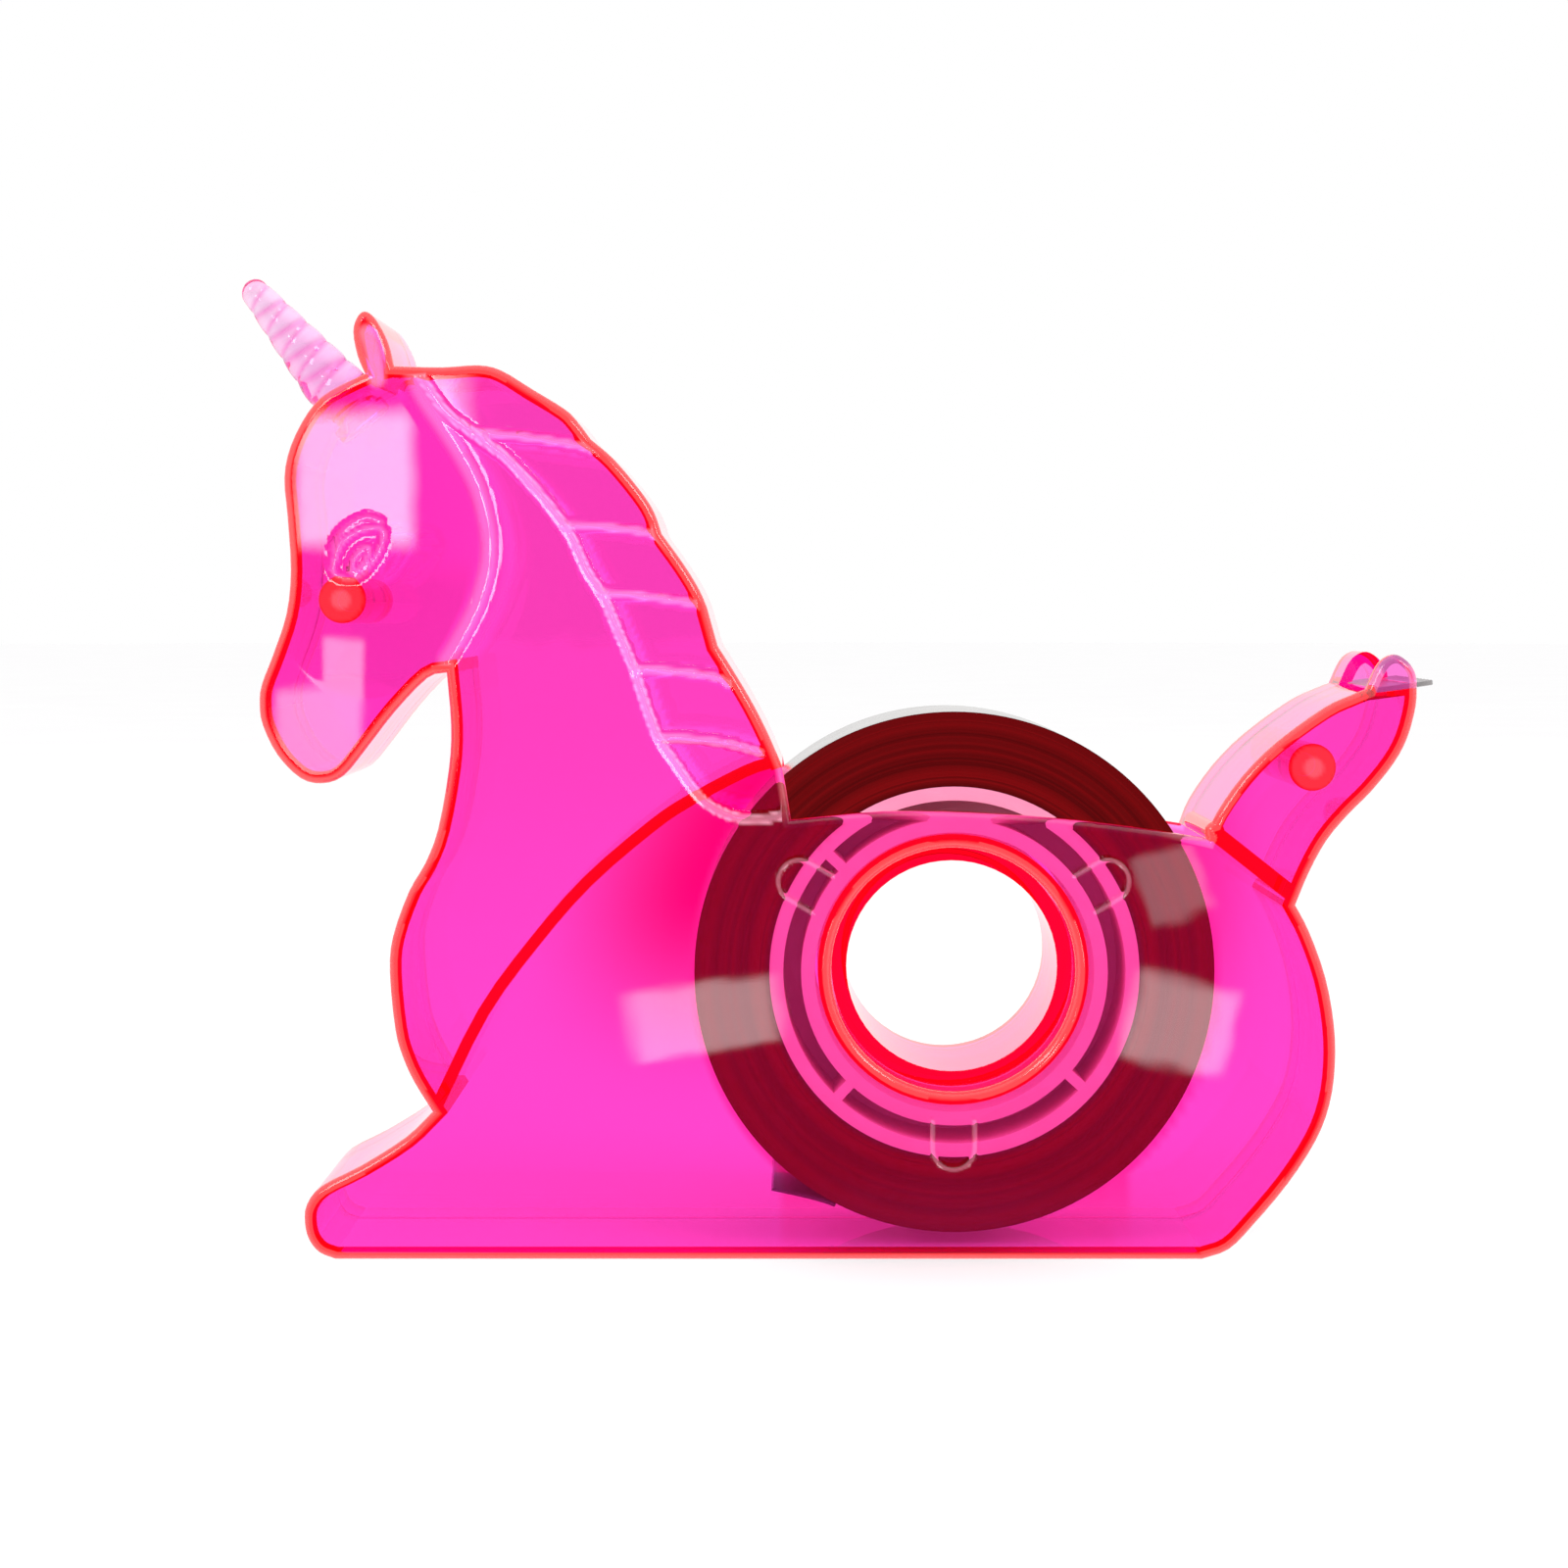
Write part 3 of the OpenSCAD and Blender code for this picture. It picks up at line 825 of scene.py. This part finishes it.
    def paint_rim_glow(self, bm: BMesh, plane: float, walls: np.ndarray) -> None:
        """Paint a glow on the rim's faces over a full wall, standing in for the light that the
        wall lets out.

        Args:
            bm: the mesh.
            plane: Y of the outer plane in millimetres.
            walls: places of the walls, X and Z rows in millimetres.
        """
        rim = bm.verts.layers.float[RIM_GLOW_PAINT]
        for face in bm.faces:
            middle = face.calc_center_median() / MM
            depth = (plane - middle.y) * self.outward
            if not 0.01 < depth < self.rim_mm + 0.02 or abs(face.normal.y) > 0.995:
                continue
            gap = np.hypot(walls[:, 0] - middle.x, walls[:, 1] - middle.z)
            if gap.min() < self.lit_reach_mm:
                for vert in face.verts:
                    vert[rim] = 1.0


@dataclass
class TapeRoll:
    """The wound tape: hundreds of turns whose edges stand a little unevenly."""

    centre: Point = ROLL_CENTRE
    outer_r: float = ROLL_OUTER_R
    inner_r: float = ROLL_INNER_R
    half_width: float = 9.0
    turn_mm: float = 0.35
    uneven_mm: float = 0.05
    corner_mm: float = 0.12
    steps: int = 160

    def build(self, edge: Material, film: Material) -> Object:
        """Make the roll.

        Args:
            edge: finish of the turns' edges on both sides.
            film: finish of the outermost turn.

        Returns:
            The piece.
        """
        bm = bmesh.new()
        count = round((self.outer_r - self.inner_r) / self.turn_mm)
        profile = []
        for side in (-1, 1):
            radii = [self.inner_r + (self.outer_r - self.inner_r) * i / count
                     for i in range(count + 1)]
            for i, r in enumerate(radii if side < 0 else reversed(radii)):
                dent = self.corner_mm if i in (0, count) else self.dent(i, side)
                y = side * (self.half_width - dent)
                profile.append(bm.verts.new(mm(self.centre[0] + r, y, self.centre[1])))
        profile.append(profile[0])
        edges = [bm.edges.new(pair) for pair in zip(profile[:-1], profile[1:])]
        bmesh.ops.spin(bm, geom=edges + profile[:-1], cent=mm(self.centre[0], 0, self.centre[1]),
                       axis=(0, 1, 0), dvec=(0, 0, 0), angle=2 * math.pi, steps=self.steps,
                       use_merge=True)
        bmesh.ops.remove_doubles(bm, verts=bm.verts, dist=0.001 * MM)
        bmesh.ops.recalc_face_normals(bm, faces=bm.faces)
        for face in bm.faces:
            middle = face.calc_center_median() / MM
            r = math.hypot(middle.x - self.centre[0], middle.z - self.centre[1])
            outermost = r > self.outer_r - 0.02 and abs(middle.y) < self.half_width - 0.5
            face.material_index = 1 if outermost else 0
        return finish_mesh(bm, "tape_roll_wound", [edge, film], smooth_angle=40.0)

    def dent(self, turn: int, side: int) -> float:
        """How far one turn's edge lies inside the roll's side, in mm, without a visible beat."""
        return self.uneven_mm * (0.5 + 0.5 * math.sin(7.3 * turn) * math.cos(2.1 * turn + side))


@dataclass
class BevelledNode:
    """A CAD piece whose shape is right, with its sharp edges broken."""

    node: str
    suffix: str
    bevel_mm: float
    segments: int = 2
    smooth_angle: float = 35.0

    def build(self, material: Material) -> Object:
        """Make the piece.

        Args:
            material: its finish.

        Returns:
            The piece.
        """
        bm = merged_copy(self.node)
        bevel_sharp(bm, self.bevel_mm, self.segments)
        return finish_mesh(bm, f"{self.node}_{self.suffix}", [material], self.smooth_angle)


@dataclass
class LeadTab:
    """The folded end of the tape, which springs a little away from the roll."""

    centre: Point = ROLL_CENTRE
    start: float = 243.0
    sweep: float = -13.0
    foot_r: float = ROLL_OUTER_R + 0.02
    spring_mm: float = 2.0
    curl: float = 1.6
    thick_mm: float = 0.35
    half_width: float = 8.9
    bevel_mm: float = 0.1
    steps: int = 24

    def build(self, material: Material) -> Object:
        """Make the tab.

        Args:
            material: its finish.

        Returns:
            The piece.
        """
        bm = bmesh.new()
        rings = []
        for i in range(self.steps + 1):
            share = i / self.steps
            turn = math.radians(self.start + self.sweep * share)
            r = self.foot_r + self.spring_mm * share ** self.curl
            rings.append([bm.verts.new(mm(self.centre[0] + (r + out) * math.cos(turn), y,
                                          self.centre[1] + (r + out) * math.sin(turn)))
                          for y, out in ((-self.half_width, 0.0), (self.half_width, 0.0),
                                         (self.half_width, self.thick_mm),
                                         (-self.half_width, self.thick_mm))])
        for a, b in zip(rings[:-1], rings[1:]):
            for k in range(4):
                bm.faces.new((a[k], a[(k + 1) % 4], b[(k + 1) % 4], b[k]))
        bm.faces.new(rings[0])
        bm.faces.new(rings[-1])
        bmesh.ops.recalc_face_normals(bm, faces=bm.faces)
        bevel_sharp(bm, self.bevel_mm, 2)
        return finish_mesh(bm, "tape_lead_tab_sprung", [material], smooth_angle=40.0)


@dataclass
class SpiralHorn:
    """The clear horn: a slim cone with a raised thread that winds up to its round tip."""

    root: Point = (-46.6, 80.7)
    lean: float = 130.0
    length: float = 13.1
    base_r: float = 3.1
    tip_r: float = 1.4
    thread_mm: float = 0.3
    turns: float = 5.0
    thread_power: float = 0.45
    thread_taper: float = 0.45
    thread_start_mm: float = 0.8
    neck_r: float = 2.15
    neck_mm: float = 2.3
    flange_wide_mm: float = 0.65
    flange_thick_mm: float = 1.2
    around: int = 48
    along: int = 90
    tip_rings: int = 6

    def build(self, material: Material) -> Object:
        """Make the horn.

        Args:
            material: its finish.

        Returns:
            The piece.
        """
        bm = bmesh.new()
        bmesh.ops.create_cone(bm, cap_ends=True, cap_tris=False, segments=self.around,
                              radius1=self.base_r * MM, radius2=self.tip_r * MM,
                              depth=self.length * MM)
        bmesh.ops.translate(bm, vec=mm(0, 0, self.length / 2), verts=bm.verts)
        for i in range(1, self.along):
            height = self.length * i / self.along
            bmesh.ops.bisect_plane(bm, geom=bm.verts[:] + bm.edges[:] + bm.faces[:],
                                   dist=0.001 * MM, plane_co=mm(0, 0, height),
                                   plane_no=(0, 0, 1))
        self.cap_tip(bm)
        # Painted shade: the thread's valleys get the darker pink of the painted dark tint
        valley = bm.verts.layers.float.new(DARK_TINT_PAINT)
        for vert in bm.verts:
            vert[valley] = self.wind(vert)
        self.add_neck(bm)
        turn = (Matrix.Translation(mm(self.root[0], 0, self.root[1]))
                @ Matrix.Rotation(math.radians(90 - self.lean), 4, "Y"))
        bmesh.ops.transform(bm, matrix=turn, verts=bm.verts)
        return finish_mesh(bm, "horn_spiral", [material], smooth_angle=50.0)

    def cap_tip(self, bm: BMesh) -> None:
        """Round the flat tip in rings, by insets that rise on a quarter circle."""
        top = [f for f in bm.faces if f.normal.z > 0.9]
        for i in range(self.tip_rings):
            a, b = (math.pi / 2 * k / (self.tip_rings + 0.4) for k in (i, i + 1))
            bmesh.ops.inset_region(
                bm, faces=top, thickness=self.tip_r * (math.cos(a) - math.cos(b)) * MM,
                depth=0.0, use_even_offset=True)
            for vert in {v for f in top for v in f.verts}:
                vert.co.z += self.tip_r * (math.sin(b) - math.sin(a)) * MM

    def wind(self, vert: BMVert) -> float:
        """Raise the thread at one corner of the cone.

        Args:
            vert: the corner.

        Returns:
            1 in the valley between two turns of the thread, 0 on its crest: the share of painted
            shade there.
        """
        height = vert.co.z / MM
        if not 0.0 < height <= self.length + self.tip_r:
            return 0.0
        around = math.atan2(vert.co.y, vert.co.x) / (2 * math.pi)
        pitch = self.length / self.turns
        phase = (height / pitch - around) % 1.0
        ridge = abs(math.sin(math.pi * phase)) ** self.thread_power
        share = (min(1.0, height / self.thread_start_mm)
                 * (1.0 - self.thread_taper * height / self.length))
        flat = Vector((vert.co.x, vert.co.y, 0.0))
        if flat.length > 0.2 * MM:
            vert.co -= flat.normalized() * self.thread_mm * (1 - ridge) * share * MM
        return max(0.0, 1.0 - 6.0 * min(phase, 1.0 - phase)) * min(1.0, share + 0.4)

    def add_neck(self, bm: BMesh) -> None:
        """Sink a neck with a flange under the cone, through the head's wall."""
        base = [f for f in bm.faces if f.normal.z < -0.9 and f.calc_center_median().z < 0.01 * MM]
        bmesh.ops.inset_region(bm, faces=base, thickness=(self.base_r - self.neck_r) * MM,
                               depth=0.0, use_even_offset=True)
        for sink, widen in ((self.neck_mm, 0.0), (0.0, self.flange_wide_mm),
                            (self.flange_thick_mm, 0.0)):
            base = self.extrude(bm, base, sink, widen)

    def extrude(self, bm: BMesh, base: list[BMFace], sink: float,
                widen: float) -> list[BMFace]:
        """Extrude the neck's end down, or widen it.

        Args:
            bm: the mesh.
            base: the end's faces.
            sink: how far down in millimetres.
            widen: how much larger in radius, in millimetres.

        Returns:
            The new end's faces.
        """
        made = bmesh.ops.extrude_face_region(bm, geom=base)["geom"]
        bmesh.ops.delete(bm, geom=base, context="FACES_ONLY")
        for vert in (v for v in made if isinstance(v, BMVert)):
            flat = Vector((vert.co.x, vert.co.y, 0.0))
            vert.co += flat.normalized() * widen * MM
            vert.co.z -= sink * MM
        return [f for f in made if isinstance(f, BMFace)]


# ---- the studio


@dataclass(frozen=True)
class Lamp:
    """A soft lamp that fades towards its border: place and size in mm, brightness, tilt.

    A surround of brightness 1 is white. A lamp that does not face the object is a card that
    outer faces mirror, and inner faces show it at the inside share of its brightness.
    """

    name: str
    at: tuple[float, float, float]
    size: tuple[float, float]
    brightness: float
    tilt: float = 0.0
    faces_object: bool = False
    border: float = 0.16
    inside: float = 0.15

    def build(self) -> None:
        """Make the lamp."""
        lamp = bpy.data.lights.new(self.name, "AREA")
        lamp.shape = "RECTANGLE"
        lamp.size, lamp.size_y = self.size[0] * MM, self.size[1] * MM
        lamp.energy = self.brightness * math.pi * lamp.size * lamp.size_y
        lamp.use_nodes = True
        tree = lamp.node_tree
        tree.nodes.clear()
        where = add_node(tree, "ShaderNodeNewGeometry")
        split = add_node(tree, "ShaderNodeSeparateXYZ", inputs={
            "Vector": where.outputs["Parametric"]})
        fades = [self.fade(tree, split.outputs[axis]) for axis in ("X", "Y")]
        both = add_node(tree, "ShaderNodeMath", {"operation": "MULTIPLY"}, {
            0: fades[0], 1: fades[1]})
        # Inner faces would double the outline of a card at its full brightness
        path = add_node(tree, "ShaderNodeLightPath")
        inside = add_node(tree, "ShaderNodeMapRange", inputs={
            "Value": path.outputs["Transmission Depth"], "To Min": 1.0,
            "To Max": 1.0 if self.faces_object else self.inside})
        level = add_node(tree, "ShaderNodeMath", {"operation": "MULTIPLY"}, {
            0: both.outputs[0], 1: inside.outputs[0]})
        light = add_node(tree, "ShaderNodeEmission", inputs={"Strength": level.outputs[0]})
        out = add_node(tree, "ShaderNodeOutputLight")
        tree.links.new(light.outputs[0], out.inputs["Surface"])
        holder = bpy.data.objects.new(self.name, lamp)
        holder.location = mm(*self.at)
        aim = mm(*MIDDLE) - holder.location if self.faces_object else Vector((0, 1, 0))
        turn = aim.to_track_quat("-Z", "Y").to_matrix().to_4x4()
        turn @= Matrix.Rotation(math.radians(self.tilt), 4, "Z")
        holder.rotation_euler = turn.to_euler()
        holder.visible_camera = False
        bpy.context.scene.collection.objects.link(holder)

    def fade(self, tree: NodeTree, share: NodeSocket) -> NodeSocket:
        """Brightness across one side of the lamp.

        Args:
            tree: the lamp's node tree.
            share: from 0 to 1 across the lamp.

        Returns:
            0 at the two borders, 1 inside them.
        """
        middle = add_node(tree, "ShaderNodeMath", {"operation": "SUBTRACT"}, {0: share, 1: 0.5})
        off = add_node(tree, "ShaderNodeMath", {"operation": "ABSOLUTE"}, {
            0: middle.outputs[0]})
        ramp = add_node(tree, "ShaderNodeMapRange", {"interpolation_type": "SMOOTHSTEP"}, {
            "Value": off.outputs[0], "From Min": 0.5, "From Max": 0.5 - self.border})
        return ramp.outputs[0]


@dataclass
class Studio:
    """Pale floor, bright surround, soft lamps and the camera."""

    camera_at: tuple[float, float, float] = (-3.8, -303.0, 61.5)
    lens: float = 72.3
    sensor_mm: float = 36.0
    near_mm: float = 10.0
    shift_x: float = -0.003
    shift_y: float = -0.119
    floor_mm: float = 4000.0
    dim_from: float = -0.35
    dim_to: float = -0.75
    dim_share: float = 0.02
    lamps: Sequence[Lamp] = (
        Lamp("softbox_forehead", (-88.0, -311.0, 86.5), (54.0, 42.0), 9.0),
        Lamp("softbox_muzzle", (-92.0, -311.0, 36.0), (19.0, 20.0), 5.0),
        Lamp("card_low_left", (-18.2, -261.0, -11.0), (30.0, 14.0), 4.5, 8.0),
        Lamp("card_low_right", (63.6, -261.0, -12.0), (21.0, 18.0), 4.5, -14.0),
        Lamp("card_right", (62.0, -261.0, 12.0), (13.0, 15.0), 2.0, 20.0),
        Lamp("softbox_left", (-420.0, -360.0, 420.0), (260.0, 260.0), 6.0, faces_object=True),
        Lamp("softbox_right", (420.0, -300.0, 380.0), (260.0, 260.0), 6.0, faces_object=True),
    )

    def build(self) -> None:
        """Make the surround, the floor, the lamps and the camera."""
        self.set_world()
        self.lay_floor()
        for lamp in self.lamps:
            lamp.build()
        camera = bpy.data.objects.new("camera", bpy.data.cameras.new("camera"))
        camera.location = mm(*self.camera_at)
        camera.rotation_euler = (math.pi / 2, 0, 0)
        camera.data.lens = self.lens
        camera.data.sensor_width = self.sensor_mm
        camera.data.shift_x = self.shift_x
        camera.data.shift_y = self.shift_y
        camera.data.clip_start = self.near_mm * MM
        bpy.context.scene.collection.objects.link(camera)
        bpy.context.scene.camera = camera

    def set_world(self) -> None:
        """White surround whose camera side mirrors faintly, so the plastic keeps its colour."""
        scene = bpy.context.scene
        scene.view_settings.view_transform = "Standard"
        # Light runs along the plastic walls by many inner reflections
        scene.cycles.transmission_bounces = 24
        scene.cycles.glossy_bounces = 24
        scene.cycles.max_bounces = 32
        world = bpy.data.worlds.new("white_surround")
        world.use_nodes = True
        tree = world.node_tree
        tree.nodes.clear()
        path = add_node(tree, "ShaderNodeLightPath")
        mirrored = add_node(tree, "ShaderNodeMath", {"operation": "SUBTRACT", "use_clamp": True}, {
            0: path.outputs["Glossy Depth"], 1: path.outputs["Is Diffuse Ray"]})
        place = add_node(tree, "ShaderNodeTexCoord")
        split = add_node(tree, "ShaderNodeSeparateXYZ", inputs={
            "Vector": place.outputs["Generated"]})
        frontal = add_node(tree, "ShaderNodeMapRange", inputs={
            "Value": split.outputs["Y"], "From Min": self.dim_from,
            "From Max": self.dim_to})
        dimmed = add_node(tree, "ShaderNodeMath", {"operation": "MULTIPLY"}, {
            0: mirrored.outputs[0], 1: frontal.outputs[0]})
        level = add_node(tree, "ShaderNodeMapRange", inputs={
            "Value": dimmed.outputs[0], "To Min": 1.0,
            "To Max": self.dim_share})
        light = add_node(tree, "ShaderNodeBackground", inputs={
            "Color": (1.0, 1.0, 1.0, 1.0), "Strength": level.outputs[0]})
        out = add_node(tree, "ShaderNodeOutputWorld")
        tree.links.new(light.outputs[0], out.inputs["Surface"])
        scene.world = world

    def lay_floor(self) -> None:
        """A wide pale painted board under the object."""
        bm = bmesh.new()
        bmesh.ops.create_circle(bm, cap_ends=True, segments=96, radius=self.floor_mm * MM)
        board = finish_mesh(bm, "floor", [SmoothPlastic(
            "matt_painted_board", "#ffffff", "#fcfbfc", patch_mm=60.0, roughness=0.6,
            shine=0.0).build()])
        board.visible_glossy = False


# ---- assembly


def place(piece: Object, body: Body, slot: str, *nodes: str) -> None:
    """Let a piece ride on a body, in place of CAD nodes.

    Args:
        piece: the piece.
        body: the body it moves with.
        slot: the record's material slot, not used.
        nodes: the CAD nodes it stands for.
    """
    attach(piece, body.value)
    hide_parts(*nodes)
    LOG.info("%s: %d faces, rides on %s", piece.name, len(piece.data.polygons), body.value)


def main() -> None:
    """Build the studio and every piece, and note the sizes."""
    logging.basicConfig(level=logging.INFO, format="%(name)s: %(message)s")
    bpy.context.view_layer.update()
    Studio().build()
    # Painted light on the shells: highlight strokes on moulded lines, glow on the rims, a steady
    # fluorescent glow, and a painted dark tint near the roll
    clear = ClearPlastic("moulded_clear_polystyrene", green_per_mm=0.96, blue_per_mm=0.19,
                         painted_dark_tint="#ff0c9a", painted_gleam=0.9, rim=0.3, glow=0.03).build()
    # Painted shade: a darker pink in the horn's thread valleys
    horn_clear = ClearPlastic("moulded_pale_polystyrene", green_per_mm=0.14,
                              blue_per_mm=0.03, painted_dark_tint="#ff86d2", roughness=0.09).build()
    core_pink = SmoothPlastic("moulded_pink_polypropylene", "#f08cae", "#e67ba0",
                              roughness=0.35).build()
    wound = WoundFilm("wound_film_edges", "#440002", "#700105").build()
    film = SmoothPlastic("cellulose_film_face", "#a09c98", "#8e8a88", patch_mm=5.0,
                         roughness=0.2, coat=0.2).build()
    tab_film = SmoothPlastic("folded_film_tab", "#46304e", "#332238", patch_mm=4.0,
                             roughness=0.15, coat=0.5).build()
    steel = StampedSteel().build()

    front = ShellHalf("front_shell", -1.0, FaceRelief(dome=0.2), pitch_mm=0.3,
                      coarse_pitch_mm=0.8)
    place(front.build(clear), Body.SHELL, "clear_pink", "front_shell")
    cover = ShellHalf("back_cover", 1.0, FaceRelief(dome=0.0), pitch_mm=0.34,
                      coarse_pitch_mm=1.4)
    place(cover.build(clear), Body.COVER, "clear_pink", "back_cover")
    place(SpiralHorn().build(horn_clear), Body.SHELL, "horn_pink", "horn")
    blade = BevelledNode("cutter_blade", "stamped", 0.06, segments=1, smooth_angle=25.0)
    place(blade.build(steel), Body.SHELL, "steel", "cutter_blade")
    place(TapeRoll().build(wound, film), Body.ROLL, "tape", "tape_roll")
    core = BevelledNode("tape_core", "detailed", 0.18)
    place(core.build(core_pink), Body.ROLL, "core_pink", "tape_core")
    place(LeadTab().build(tab_film), Body.ROLL, "tab", "tape_lead_tab")


if __name__ == "__main__":
    main()
